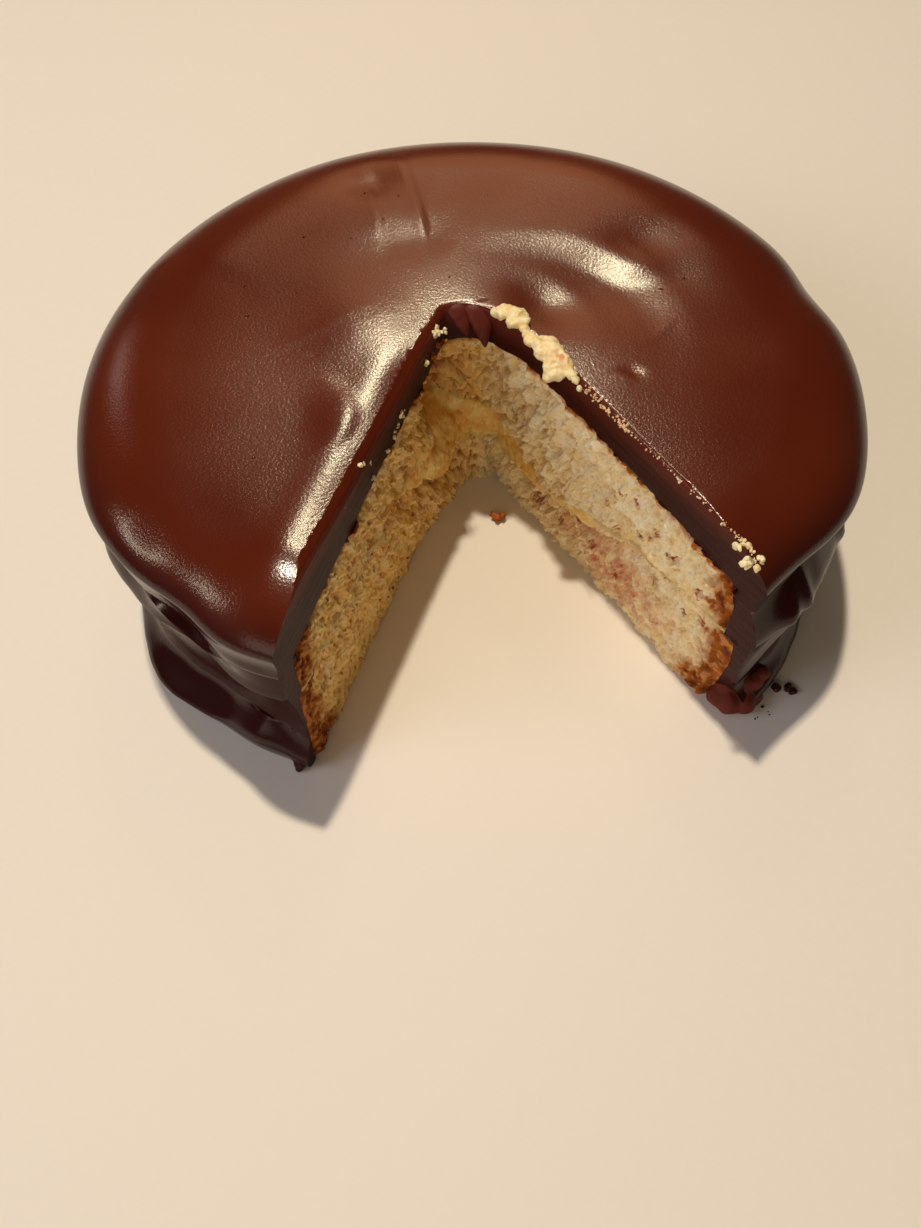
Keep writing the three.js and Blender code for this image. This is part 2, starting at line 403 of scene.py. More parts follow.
chocolateLook = {  # the poured top, the side below the rounded edge painted darker as shade, and the matt faces left by the knife
    "top": {
        "deep": (80, 24, 6), "warm": (92, 33, 11), "roughness": (0.18, 0.22), "shine": 0.42, "grain": 0.24,
    },
    # painted shade: the same glaze, darker on the side where less light falls
    "side": {
        "deep": (48, 12, 9), "warm": (58, 17, 12), "roughness": (0.19, 0.24), "shine": 0.3, "grain": 0.12,
    },
    "cut": {
        "deep": (88, 35, 26), "warm": (102, 44, 33), "roughness": (0.42, 0.52), "shine": 0.12, "grain": 0.3,
    },
}


def chocolateMaterial(name):
    look = chocolateLook[name]
    mix = Recipe("chocolate " + name, {"Specular IOR Level": look["shine"]})
    tint = mix.blend(mix.remap(mix.speckle(60), 0.35, 0.65), look["deep"], look["warm"])
    # painted shade: blends towards the side's darker colour where the glaze turns down
    tint = mix.blend(mix.mask("low"), tint, chocolateLook["side"]["deep"])
    leather = mix.speckle(0.65, 3.0)
    height = mix.plus(leather, mix.times(mix.speckle(26, 1.0), 1.5))
    roughness = mix.remap(mix.speckle(30), 0.3, 0.7, *look["roughness"])
    return mix.finish(tint, roughness, height, look["grain"], 0.00025)


# the hollow and pore colours are painted shade; golden is partly soaked crumb and partly painted warm shade
# on the left cut face
spongeLook = {
    "pale": (252, 236, 192),
    "cream": (242, 216, 158),
    "golden": (248, 204, 118),
    "hollow": (180, 116, 40),
    "crust": (176, 98, 32),
    "burnt": (104, 44, 12),
    "bits": (150, 62, 14),
    "stain": (214, 138, 100),
    "poreShade": (186, 132, 66),
}


def spongeMaterial(name):
    look = spongeLook
    mix = Recipe(name, {**softly(0.12, (0.002, 0.0014, 0.0008)), "Specular IOR Level": 0.25})
    mottle = mix.remap(mix.speckle(4, 3.0), 0.38, 0.62)
    tint = mix.blend(mottle, look["pale"], look["cream"])
    # golden: soaked crumb near the custard, and painted warm shade over the left cut face
    tint = mix.blend(mix.times(mix.mask("golden"), mix.remap(mottle, 0, 1, 0.7, 1.0)), tint, look["golden"])
    # painted shade: darker, browner colour in recesses and in the hollow beside the tip
    tint = mix.blend(mix.times(mix.mask("hollow"), 0.8), tint, look["hollow"])
    pink = mix.times(mix.mask("stain"), mix.remap(mix.speckle(3, 3.0), 0.35, 0.65))
    tint = mix.blend(pink, tint, look["stain"])
    holes = mix.add("TexVoronoi", {"Vector": mix.place, "Scale": 1000, "Randomness": 1.0})
    height = mix.plus(holes.outputs["Distance"], mix.speckle(0.8, 4.0))
    # painted shade in the pores of the crumb
    tint = mix.blend(mix.remap(height, 0.45, 0.8, 0.35, 0.0), tint, look["poreShade"])
    flecks = mix.remap(mix.speckle(2.4, 4.0), 0.63, 0.70)
    flecks = mix.times(flecks, mix.remap(mix.mask("golden"), 0, 1, 0.35, 0.8))
    tint = mix.blend(flecks, tint, look["bits"])
    tint = mix.blend(mix.mask("bits"), tint, look["bits"])
    tint = mix.blend(mix.remap(mix.mask("crust"), 0, 0.7), tint, look["crust"])
    scorched = mix.times(mix.remap(mix.mask("crust"), 0.6, 1.0), mix.remap(mottle, 0, 1, 0.3, 1))
    tint = mix.blend(scorched, tint, look["burnt"])
    return mix.finish(tint, mix.remap(height, 0.4, 1.2, 0.75, 0.95), height, 0.55, 0.0005)


custardLook = {"pale": (246, 216, 132), "deep": (222, 160, 62), "thin": (226, 190, 128)}


def custardMaterial():
    mix = Recipe("custard", softly(0.4, (0.006, 0.004, 0.0015)))
    share = mix.remap(mix.speckle(6, 3.0), 0.35, 0.68)
    tint = mix.blend(share, custardLook["pale"], custardLook["deep"])
    # painted shade: deeper yellow in the custard's recesses
    tint = mix.blend(mix.mask("hollow"), tint, custardLook["deep"])
    tint = mix.blend(mix.mask("thin"), tint, custardLook["thin"])
    fine = mix.speckle(1.2, 3.0)
    return mix.finish(tint, mix.remap(fine, 0.3, 0.7, 0.4, 0.65), fine, 0.4, 0.0004)


creamLook = {"pale": (246, 226, 178), "deep": (232, 198, 132), "spot": (206, 120, 44)}


def creamMaterial():
    mix = Recipe("cream", softly(0.4, (0.004, 0.003, 0.0015)))
    share = mix.remap(mix.speckle(3.0, 4.0), 0.4, 0.65)
    tint = mix.blend(share, creamLook["pale"], creamLook["deep"])
    tint = mix.blend(mix.mask("spot"), tint, creamLook["spot"])
    fine = mix.speckle(0.9, 4.0)
    return mix.finish(tint, mix.remap(fine, 0.3, 0.7, 0.45, 0.75), fine, 0.6, 0.0004)


chocolate = chocolateMaterial("top")
shadedSideChocolate = chocolateMaterial("side")
cutChocolate = chocolateMaterial("cut")
spongeUpper = spongeMaterial("upper sponge")
spongeLower = spongeMaterial("lower sponge")
custard = custardMaterial()
cream = creamMaterial()
print("materials ready")


# the missing slice: a fine sheet of relief over both cut faces and the torn wall between them

def slicePath():
    # base points of the sheet, right cut first, with the way into the cake and a distance u from the tip
    step = wedge["step"]
    along = np.arange(wedge["tornFrom"], wedge["shownTo"], step)
    start = np.array(wedge["start"])

    def ray(name):
        turn = math.radians(wedge[name])
        return start + np.append(along, wedge["reach"])[:, None] * np.array([math.cos(turn), math.sin(turn)])

    right, left = ray("right"), ray("left")
    share = np.linspace(0, 1, int(2 * wedge["tornHalf"] / step))[1:-1, None]
    torn = right[0] * (1 - share) + left[0] * share + np.array([0, 1.2]) * np.sin(math.pi * share)
    points = np.concatenate([right[::-1], torn, left])
    side = wedge["tornHalf"] + along - wedge["tornFrom"]
    side = np.append(side, wedge["reach"])
    u = np.concatenate([side[::-1], wedge["tornHalf"] * (1 - 2 * share[:, 0]), -side])
    inner = points[1:-1]
    for _ in range(10):
        inner[1:-1] = (inner[:-2] + inner[1:-1] * 2 + inner[2:]) / 4
    ahead = np.gradient(points, axis=0)
    ahead /= np.linalg.norm(ahead, axis=1, keepdims=True)
    into = np.stack([ahead[:, 1], -ahead[:, 0]], axis=-1)
    for _ in range(60):
        into[1:-1] = (into[:-2] + into[1:-1] * 2 + into[2:]) / 4
    into /= np.linalg.norm(into, axis=1, keepdims=True)
    return points, into, u


# Relief of each face, positive into the cake; along is the distance from where the cut planes meet. At a
# ledge the face drops back by depth below a ragged line of (along, z), and returns over fall.
cutRelief = {
    "left": {
        "patches": [  # along, z, wide, tall, depth
            (20, 0, 20, 20, -4.5), (21, 45, 8, 8, 8), (30.5, 32.5, 3, 3, 3.5), (26, 27, 13, 8, -4),
            (38, 38, 8, 6, -2.5), (32, 22, 6, 4, -2),
        ],
        "ledges": [
            {
                "line": [(12, 56), (33, 56), (35, 51.5), (39, 50), (52, 47.5), (62, 45), (76, 43)],
                "depth": 2.0, "fall": 11,
            },
            {
                "line": [(10, 16), (16, 16), (24, 17), (32, 20), (40, 25), (50, 31), (60, 34)],
                "depth": 5.5, "fall": 9,
            },
        ],
    },
    "right": {
        "patches": [
            (30, 0, 16, 16, -1.5), (34, 36, 7, 7, -1.5), (37, 51, 7, 2.5, 1.8), (54, 44, 9, 2.5, 1.6),
            (33, 31, 4, 4, -2), (46, 34, 5, 4, -1.8), (56, 33, 6, 5, -2), (60, 25, 7, 3.5, -2),
            (44, 12, 9, 4, 1.5),
        ],
        "ledges": [
            {
                "line": [(24, 57), (36, 53), (46, 52), (52, 49), (58, 46.5), (64, 43), (70, 41), (80, 37)],
                "depth": 4.6, "fall": 6,
            },
            {
                "line": [
                    (28, 13), (36, 13), (44, 16), (50, 17), (56, 19), (62, 22), (68, 25), (76, 28),
                    (86, 31), (100, 34),
                ],
                "depth": 3.8, "fall": 7,
            },
        ],
    },
}
rollOver = {"left": 2.2, "right": 1.2, "above": 1.2}  # radius of the glaze's edges, softened by the knife
brokenFoot = {"along": 126, "z": 0, "wide": 10, "tall": 15, "depth": 8}  # foot of the glaze, right cut
tipPinch = {"u": 9, "wide": 8, "depth": -3.6}  # the glaze narrows the gap to the right of the tip
crumbSize = {"lumps": 5.2, "knobs": 2.3, "holes": 2.1, "pores": 1.1}  # spacing of each


def ledge(along, z, step, wobble):
    line = np.array(step["line"])
    below = np.interp(along, line[:, 0], line[:, 1]) + wobble - z
    ends = ramp(line[0, 0] - 4, line[0, 0] + 4, along) * ramp(line[-1, 0] + 8, line[-1, 0] - 8, along)
    return step["depth"] * ends * ramp(-0.5, 0.8, below) * bell(np.maximum(below, 0), 0, step["fall"])


def sliceDepth(u, z, x, y):
    toTip = wedge["tornFrom"] - wedge["tornHalf"]
    depth = np.zeros(u.shape)
    place = np.stack([u, z, 0 * u], axis=-1)
    wobble = rough(place + 31.0, 6.0, 3)
    radius = np.hypot(x, y)
    inGlaze = np.maximum(ramp(-0.3, 0.8, z - spongeTop(x, y)), ramp(-0.8, 0.3, radius - cake["upperRadius"]))
    inCustard = ramp(-0.6, 0.6, z - custardUnder(x, y)) * ramp(-0.6, 0.6, custardTop(x, y) - z)
    inSponge = (1 - inGlaze) * (1 - inCustard)
    for sign, face in ((1, cutRelief["right"]), (-1, cutRelief["left"])):
        near = ramp(-6, 6, sign * u)
        along = sign * u + toTip
        for middle, level, wide, tall, deep in face["patches"]:
            depth += near * deep * (bell(along, middle, wide) * bell(z, level, tall))
        for step in face["ledges"]:
            depth += near * ledge(along, z, step, 2.6 * wobble)
    depth *= 1 - inGlaze
    # lumps with cracks between them near the tip, and an open crumb everywhere
    near = bell(u, 6, 56) * ramp(60, 50, z)
    size = crumbSize["lumps"]
    first, second, value = cells(u + 3.0 * wobble, z + 2.6 * rough(place + 80.0, 5.0, 3), size, 8)
    lumps = 2.4 * (first / size) ** 2 + 1.5 * bell(second - first, 0, 0.5) + 1.6 * (value - 0.5)
    size = crumbSize["knobs"]
    first, second, value = cells(u + 1.6 * wobble, z + 1.4 * rough(place + 50.0, 3.0, 2), size, 9)
    lumps = lumps + 0.9 * (first / size) ** 2 + 0.5 * (value - 0.5)
    crumb = 0.75 * rough(place, 2.6, 3) + 1.2 * rough(place + 7.0, 9.0, 3)
    holes = pits(u + 0.8 * wobble, z + 0.6 * wobble, crumbSize["holes"], 3, 0.4)
    holes = holes + 0.6 * pits(u, z, crumbSize["pores"], 4, 0.45)
    depth += inSponge * (crumb + holes + near * lumps)
    smooth = 0.8 * rough(place + 3.0, 7.0, 2) + 0.25 * rough(place + 3.0, 1.6, 2)
    depth += inCustard * (smooth + 0.3 * near * lumps)
    depth += inGlaze * 0.05 * rough(place * np.array([0.12, 1.0, 1.0]), 1.6, 2)
    onLeft = ramp(4, -6, u)
    below = np.maximum(0, glazeTop(x, y) - z)
    roll = rollOver["right"] + (rollOver["left"] - rollOver["right"]) * onLeft
    curve = roll - np.sqrt(np.maximum(0, roll ** 2 - np.maximum(0, roll - below) ** 2))
    depth += curve + rollOver["above"] * np.maximum(0, z - glazeTop(x, y))
    depth += inGlaze * tipPinch["depth"] * bell(u, tipPinch["u"], tipPinch["wide"])
    foot = brokenFoot
    broken = bell(u + toTip, foot["along"], foot["wide"]) * bell(z, foot["z"], foot["tall"])
    depth += inGlaze * foot["depth"] * broken
    return depth


def sliceSpace():
    base, into, u = slicePath()
    heights = np.concatenate([[84.0], np.arange(76, -0.6, -wedge["step"]), [-6.0]])
    z, along = np.meshgrid(heights, u, indexing="ij")
    x, y = (np.broadcast_to(row, z.shape) for row in base.T)
    depth = sliceDepth(along, z, x, y)
    depth[[0, -1]] = 0
    depth[:, [0, -1]] = 0
    rings = np.stack([x + depth * into[:, 0], y + depth * into[:, 1], z], axis=-1)
    points, faces = stackRings(rings)
    # how far each point lies below the face around it, painted later as shade in the recesses
    low = 0.5 + 0.4 * (depth - smoothed(smoothed(depth, 8), 8))
    sheet = KDTree(z.size)
    for index, point in enumerate(rings.reshape(-1, 3)):
        sheet.insert(point, index)
    sheet.balance()
    space = addObject("slice space", makeMesh("slice space", points, faces))
    return space, sheet, np.clip(low, 0, 1).ravel()


def smoothed(values, half):
    # running mean over half cells each way, along both axes
    for _ in range(2):
        padded = np.pad(values, ((half + 1, half), (0, 0)), mode="edge").cumsum(axis=0)
        values = ((padded[2 * half + 1:] - padded[:-2 * half - 1]) / (2 * half + 1)).T
    return values


cutter, cutSheet, cutRecessShade = sliceSpace()
print("slice space ready,", len(cutter.data.vertices), "points")


# chocolate glaze

glazeShape = {
    "topStep": 1.5,
    "sideStep": 1.1,
    "columns": [(-58, -12, 150), (-12, 195, 180), (195, 251, 140), (251, 302, 20)],  # degrees, and number
    "folds": [  # of the draped side: angle at z 30, slant in degrees a millimetre, from z, to z, lift, width
        (-42, 0.30, 14, 47, 1.8, 1.8), (-37, 0.16, 18, 49, 1.5, 1.5), (-24, 0.35, 30, 52, 1.6, 2.0),
        (-143, -0.20, 16, 36, 0.5, 7), (-168, 0.15, 10, 48, 1.2, 4), (12, -0.25, 12, 50, 1.4, 4),
        (55, 0.20, 10, 44, 1.2, 5), (96, -0.15, 14, 50, 1.3, 4), (138, 0.22, 8, 46, 1.2, 5),
    ],
    "wallGap": 0.15,  # from the sponge inside
    "sideBelow": 0.0545,  # m, where the side's material, darkened as painted shade, begins
    "cutWithin": 0.00005,  # m, from the knife's sheet
}


def spline(knots, steps):
    # smooth curve through the knots, arrays of shape (knot, column)
    knots = np.asarray(knots)
    before = np.concatenate([knots[:1], knots[:-1]])
    after = np.concatenate([knots[1:], knots[-1:]])
    slope = (after - before) / 2
    rows = []
    for i, count in enumerate(steps):
        t = np.arange(count)[:, None] / count
        a, b = knots[i], knots[i + 1]
        rows.append(
            (2 * t ** 3 - 3 * t ** 2 + 1) * a
            + (t ** 3 - 2 * t ** 2 + t) * slope[i]
            + (3 * t ** 2 - 2 * t ** 3) * b
            + (t ** 3 - t ** 2) * slope[i + 1]
        )
    return np.concatenate(rows + [knots[-1:]])


def glazeSide(angle):
    # (radius, height) of the glaze's side from the shoulder to the floor, for each angle
    left = nearAngle(angle, -112, 13)  # pulled in where each cut ends
    right = nearAngle(angle, -58, 12)
    skirt = nearAngle(angle, -27, 17) + nearAngle(angle, -152, 14)
    front = nearAngle(angle, -90, 75)  # deeper waist
    band = nearAngle(angle, -129, 22)  # a second ridge close under the edge
    flatter = nearAngle(angle, -134, 9)  # two flatter stretches of the rim
    flatRight = nearAngle(angle, -41, 12)
    lip = 4.5 * nearAngle(angle, -127, 6)  # where the foot curls up
    round3 = np.stack([np.cos(angle), np.sin(angle), 0 * angle], axis=-1)
    wave = 0.8 * np.sin(3 * angle + 0.6) + 0.5 * np.sin(7 * angle)
    sway = 1.6 * rough(round3 * 3 + 4.0, 1.0, 2)
    oval = -0.9 * np.sin(angle) - 1.5 * np.cos(2 * angle)
    edge = cake["shoulderRadius"] + oval + 0.5 * wave - 2.4 * nearAngle(angle, 18, 7) - 7.3 * flatRight
    edge = edge - 2.1 * nearAngle(angle, -146, 8) - 6.9 * flatter - 1.6 * nearAngle(angle, -121, 8)
    under = 1 - 0.75 * band  # how far the side is cut back below the edge
    flat = 0 * angle
    waist = 100.6 - 5.3 * front + 0.4 * wave - 3.8 * left + 2.4 * band - 2 * flatRight
    tier = 102 - 2.7 * front - wave - 5 * left - 4.2 * right + 2 * skirt - 2.3 * flatter
    tier = tier + 2.2 * nearAngle(angle, -120, 9)
    hollow = 99.4 - 4.2 * front + 0.6 * wave - 1.2 * left + 2 * right + 3.6 * skirt
    hollow = np.maximum(hollow - 3.4 * nearAngle(angle, -134, 13), 93.8)
    foot = 102.7 - front + wave - 6 * left + 1.2 * right + 1.8 * skirt + 1.8 * nearAngle(angle, -146, 8)
    foot = foot - 2.6 * flatter - 1.6 * nearAngle(angle, -122, 7)
    knots = [
        (edge - 10 * left - 7.2 * right, cake["shoulderZ"] + flat),
        (edge - 0.7 - 9.9 * left - 7.2 * right, 57.4 - band),
        (edge - 1.6 * under - 9.6 * left - 7.1 * right, 55.2 + 0.3 * sway - 1.5 * band),
        (edge - 2.6 * under - 8.8 * left - 6.6 * right, 54.0 + 0.5 * sway - 2 * band),
        (waist + 1.2 - 0.6 * right, 52.4 + sway - band),
        (waist, 51.2 + sway - 0.5 * band),
        (waist + 0.5, 49.8 + sway),
        (tier - 0.7, 43.2 + sway + 2.2 * band),
        (tier, 40.8 + 1.4 * sway + 2.6 * band),
        (tier - 0.8 - 0.8 * band, 39.0 + 1.4 * sway + 2.8 * band),
        (hollow, 30 + sway + 4 * band),
        (hollow - 0.8 - left - 1.5 * right - skirt, 17 + 0.6 * sway),
        (hollow - 1.6 * left - right - skirt, 10.5 + 0.4 * sway + lip),
        (foot, 5.4 + 0.4 * sway + lip),
        (foot + 0.3, 3.8 + 0.3 * sway + 0.6 * lip),
        (foot - 0.6, 1.3 + flat),
        (foot - 2.2, flat),
    ]
    return np.array([k[0] for k in knots]), np.array([k[1] for k in knots])


def draped(r, z, angle):
    # the folds, as an addition to the radius
    total = 0.0
    for middle, slant, low, high, lift, width in glazeShape["folds"]:
        turn = angle - np.radians(middle + slant * (z - 30))
        away = np.degrees(np.abs(np.arctan2(np.sin(turn), np.cos(turn)))) / width
        fade = ramp(low - 5, low + 5, z) * ramp(high + 4, high - 4, z)
        total = total + lift * fade * np.exp(-(away ** 1.4))
    return total


def glazeShell():
    parts = [np.linspace(low, high, count, endpoint=False) for low, high, count in glazeShape["columns"]]
    angle = np.radians(np.concatenate(parts))
    radii, heights = glazeSide(angle)
    reach = cake["shoulderReach"]
    rings = []

    def addRing(r, z):
        r = np.broadcast_to(r, angle.shape)
        x, y = r * np.cos(angle), r * np.sin(angle)
        rings.append(np.stack([x, y, z(x, y) if callable(z) else np.broadcast_to(z, angle.shape)], axis=-1))

    inner = radii[0] - reach
    for share in np.arange(glazeShape["topStep"], inner.mean(), glazeShape["topStep"]) / inner.mean():
        addRing(inner * share, glazeTop)
    level = cake["shoulderZ"]
    for turn in np.linspace(0, math.pi / 2, 28)[:-1]:
        fall = math.cos(turn) ** 1.15
        r = radii[0] - reach * (1 - math.sin(turn))
        addRing(r, lambda x, y: level + (glazeTop(x, y) - level) * fall)
    steps = [max(2, int(math.hypot(dr, dz) / glazeShape["sideStep"]))
             for dr, dz in zip(np.diff(radii.mean(1)), np.diff(heights.mean(1)))]
    for r, z in zip(spline(radii, steps), spline(heights, steps)):
        place = np.stack([r * np.cos(angle), r * np.sin(angle), z], axis=-1)
        drape = 0.6 * rough(place * np.array([1, 1, 0.5]), 16, 2) * ramp(56, 46, z) * ramp(0, 5, z)
        addRing(r + drape + draped(r, z, angle), z)
    clear = glazeShape["wallGap"]
    high = cake["upperRadius"] + clear
    for z in (0.0, 8.0, 17.0, 26.0, 32.0, 34.0):
        addRing(lowerSide(angle, z) + clear, z)
    addRing(high, cake["jointHeight"] - 0.8)
    addRing(high, 47.0)
    addRing(high - 2, lambda x, y: spongeTop(x, y) - 1.2)
    for r in (high - 6, 70, 56, 42, 28, 14):
        addRing(r, lambda x, y: spongeTop(x, y) + clear)
    return stackRings(rings)


def paintGlaze(piece, cutter):
    # the cut material on the knife's faces and, below the rounded edge, the side material darkened as
    # painted shade
    points = [v.co for v in cutter.data.vertices]
    sheet = BVHTree.FromPolygons(points, [p.vertices for p in cutter.data.polygons])
    piece.data.materials.append(shadedSideChocolate)
    piece.data.materials.append(cutChocolate)
    for face in piece.data.polygons:
        if sheet.find_nearest(face.center, glazeShape["cutWithin"])[0] and face.normal.z < 0.65:
            face.material_index = 2
        elif face.center.z < glazeShape["sideBelow"]:
            face.material_index = 1


points, faces = glazeShell()
glaze = makePiece("chocolate_glaze", points, faces, chocolate, "glaze")
cutSlice(glaze, cutter)
dress(glaze, chocolate, "glaze")
paintGlaze(glaze, cutter)
setMask(glaze, "low", 0.95 * ramp(69.5, 61, pointsOf(glaze)[:, 2]))  # painted shade: darker where it turns down
print("glaze ready,", len(glaze.data.polygons), "faces")


# sponge layers and custard

def disc(rings, columns=160):
    angle = np.linspace(0, 2 * np.pi, columns, endpoint=False)
    made = []
    for r, z in rings:
        r = lowerSide(angle, z) if r == "lower side" else r
        x, y = r * np.cos(angle), r * np.sin(angle)
        made.append(np.stack([x, y, z(x, y) if callable(z) else z + 0 * x], axis=-1))
    return stackRings(made)


def upperSponge():
    outward = [(r, spongeTop) for r in range(6, 84, 6)]
    edge = [(84, spongeTop), (88, lambda x, y: spongeTop(x, y) - 1.2), (90, 47.0), (90, custardTop)]
    return disc(outward + edge + [(r, custardTop) for r in range(84, 5, -6)])


def custardFilling():
    outward = [(r, custardTop) for r in range(6, 91, 6)]
    return disc(outward + [(r, custardUnder) for r in range(90, 5, -6)])


def lowerSponge():
    outward = [(r, custardUnder) for r in range(6, 91, 6)]
    side = [("lower side", z) for z in (34.0, 32.0, 26.0, 17.0, 8.0, 2.0)]
    return disc(outward + side + [(90.0, 0.0)])


brownBits = {  # curled brown bits in the crumb: distance along the cut, height, half size
    "right": [
        (70, 41.6, 1.5), (72.5, 46.6, 1.2), (67.5, 36, 1.2), (82.5, 38.7, 1.6), (88.3, 44, 1.6),
        (86.6, 41, 1.4), (95, 41.4, 1.9), (93.5, 40.7, 1.2), (84.5, 29.5, 1.4), (57.7, 19.2, 1.8),
        (54.3, 19.4, 1.3), (37, 7.4, 1.8), (38.5, 12.9, 1.4), (89, 24.4, 1.3), (92.9, 20.4, 1.4),
        (60.7, 24.6, 1.0), (106, 40, 1.8), (110, 30, 2.4), (103, 26, 1.5), (72, 30, 0.9), (64, 14, 1.2),
        (76, 13, 1.6), (48, 8, 1.2), (98, 30, 1.2), (78, 47, 0.9),
    ],
    "left": [(57, 32, 2.2), (74, 33, 1.8), (66, 24, 1.3)],
    "scattered": 22,  # more, smaller ones on each cut
}
crumbTints = {
    "heart": {"x": -5, "y": 12, "spread": 22, "z": 42, "tall": 16, "yellow": 0.4},
    "joint": {"tall": 4, "yellow": 0.45},
    "shade": {"along": 22, "wide": 9, "z": 45, "tall": 8, "share": 0.9},  # painted shade of the dark hollow beside the tip
    "stains": [(80, 17, 13, 10, 1.0), (60, 18, 12, 9, 0.6)],  # along the right cut, wide, z, tall, share
}


def alongCut(p, side):
    turn = math.radians(wedge[side])
    return (p[:, 0] - wedge["start"][0]) * math.cos(turn) + (p[:, 1] - wedge["start"][1]) * math.sin(turn)


def speckMask(p):
    rng = np.random.default_rng(21)
    wobble = np.stack([rough(p, 1.6, 2), rough(p + 40.0, 1.6, 2)], axis=-1)
    curl = 0.35 + 0.65 * ramp(0.34, 0.14, np.abs(rough(p + 60.0, 2.2, 2)))
    total = np.zeros(len(p))
    rightSide = p[:, 0] > 0.12 * p[:, 1] - 1
    for side in ("right", "left"):
        spots = list(brownBits[side])
        for _ in range(brownBits["scattered"]):
            spots.append((rng.uniform(24, 114), rng.uniform(2, 52), rng.uniform(0.3, 0.6)))
        onSide = rightSide if side == "right" else ~rightSide
        s, z = alongCut(p, side) + 1.2 * wobble[:, 0], p[:, 2] + 1.2 * wobble[:, 1]
        for spot in spots:
            away = np.hypot(s - spot[0], z - spot[1]) / spot[2]
            total = np.maximum(total, onSide * ramp(1.2, 0.7, away) * curl)
    return total


def browning(p):
    # crust at the sponge's outer side, its bottom corner and under the glaze
    radius = np.hypot(p[:, 0], p[:, 1])
    lumps = rough(p, 5.0, 3)
    outside = lowerSide(np.arctan2(p[:, 1], p[:, 0]), p[:, 2])
    side = outside - radius + 3.0 * lumps - 1.0 * ramp(32, 40, p[:, 2])
    top = spongeTop(p[:, 0], p[:, 1]) - p[:, 2] + 0.8 * rough(p + 9.0, 3.0, 2)
    crust = np.maximum(ramp(12, 3.5, side), 0.8 * ramp(2.4, 0.3, top))
    corner = ramp(18, 7, np.hypot(side, p[:, 2]))
    patchy = 0.6 + 0.4 * ramp(-0.35, 0.25, rough(p + 3.0, 2.6, 3))
    return np.maximum(crust, corner) * patchy


def recessShadeMask(p):
    # how far each point lies below the face around it: 0.5 level, 1 deep; painted as shade in recesses
    nearest = [cutSheet.find(point) for point in p.tolist()]
    return np.array([cutRecessShade[index] if away < 0.6 else 0.5 for place, index, away in nearest])


def makeSponge(name, shape, material, node):
    points, faces = shape
    piece = makePiece(name, points, faces, material, node)
    cutSlice(piece, cutter)
    p = pointsOf(piece)
    hollow = recessShadeMask(p)
    onLeft = ramp(5, -3, p[:, 0] - 0.12 * p[:, 1])
    edge = ramp(1.5, 6, spongeTop(p[:, 0], p[:, 1]) - p[:, 2])
    spot, shade, seam = crumbTints["heart"], crumbTints["shade"], crumbTints["joint"]
    heart = nearSpot(p[:, 0], p[:, 1], spot) * bell(p[:, 2], spot["z"], spot["tall"])
    # the left cut face gets a golden share as painted warm shade; the heart and the joint are soaked crumb
    yellow = onLeft * (0.45 + 0.5 * edge) + spot["yellow"] * heart
    joint = bell(p[:, 2], jointAt(p[:, 0], p[:, 1]), seam["tall"]) * (1 - onLeft) * seam["yellow"]
    setMask(piece, "crust", browning(p))
    setMask(piece, "golden", np.clip(yellow + joint + 0.35 * rough(p, 8.0, 2), 0, 1))
    # painted shade: darker in recesses, more so on the left face, and in the hollow beside the tip
    low = ramp(0.5, 1.0, hollow) * (0.45 + 0.5 * onLeft)
    dark = shade["share"] * onLeft * bell(alongCut(p, "left"), shade["along"], shade["wide"])
    low = np.maximum(low, dark * bell(p[:, 2], shade["z"], shade["tall"]))
    setMask(piece, "hollow", low)
    setMask(piece, "bits", speckMask(p))
    s = alongCut(p, "right")
    pink = sum(share * bell(s, middle, wide) * bell(p[:, 2], level, tall)
               for middle, wide, level, tall, share in crumbTints["stains"])
    setMask(piece, "stain", pink * (1 - onLeft))
    dress(piece, material, node, 80)
    print(name, "ready,", len(piece.data.polygons), "faces")
    return piece


makeSponge("upper_sponge", upperSponge(), spongeUpper, "sponge_top")
makeSponge("lower_sponge", lowerSponge(), spongeLower, "sponge_bottom")
points, faces = custardFilling()
filling = makePiece("custard_filling", points, faces, custard, "custard")
cutSlice(filling, cutter)
p = pointsOf(filling)
setMask(filling, "thin", ramp(5.0, 2.0, custardTop(p[:, 0], p[:, 1]) - custardUnder(p[:, 0], p[:, 1])))
# painted shade in the custard's recesses
setMask(filling, "hollow", ramp(0.5, 0.9, recessShadeMask(p)))
dress(filling, custard, "custard", 80)
bpy.data.objects.remove(cutter)
print("custard ready,", len(filling.data.polygons), "faces")


# lumps of cream and glaze: balls melted together and roughened

def onCut(side, along, z, out=0.0):
    # a point out from a cut plane, towards the gap
    turn = math.radians(wedge[side])
    sign = 1 if side == "left" else -1
    x = wedge["start"][0] + along * math.cos(turn) - sign * out * math.sin(turn)
    y = wedge["start"][1] + along * math.sin(turn) + sign * out * math.cos(turn)
    return (x, y, z)


def meltBalls(name, balls, grid, material, knobble, replaces=None, flat=1.0):
    # balls are rows of x, y, z, radius; knobble is (size, height) of the roughness
    shape = bmesh.new()
    for x, y, z, radius in balls:
        place = Matrix.Translation(Vector(toFrame((x, y, z)))) @ Matrix.Diagonal((1, 1, flat, 1))
        bmesh.ops.create_icosphere(shape, subdivisions=3, radius=radius / 1000, matrix=place)
    mesh = bpy.data.meshes.new(name)
    shape.to_mesh(mesh)
    shape.free()
    piece = addObject(name, mesh)
    melt = piece.modifiers.new("melt", "REMESH")
    melt.mode = "VOXEL"
    melt.voxel_size = grid / 1000
    soften = piece.modifiers.new("soften", "SMOOTH")
    soften.iterations = 3
    bakeModifiers(piece)
    p = pointsOf(piece)
    normals = np.array([tuple(v.vector) for v in piece.data.vertex_normals])
    size, lift = knobble
    p = p + (normals.T * (lift * rough(p, size, 3))).T
    p[:, 2] = np.maximum(p[:, 2], 0.02)
    piece.data.vertices.foreach_set("co", toFrame(p).ravel())
    piece.data.update()
    dress(piece, material, replaces, 120)
    return piece


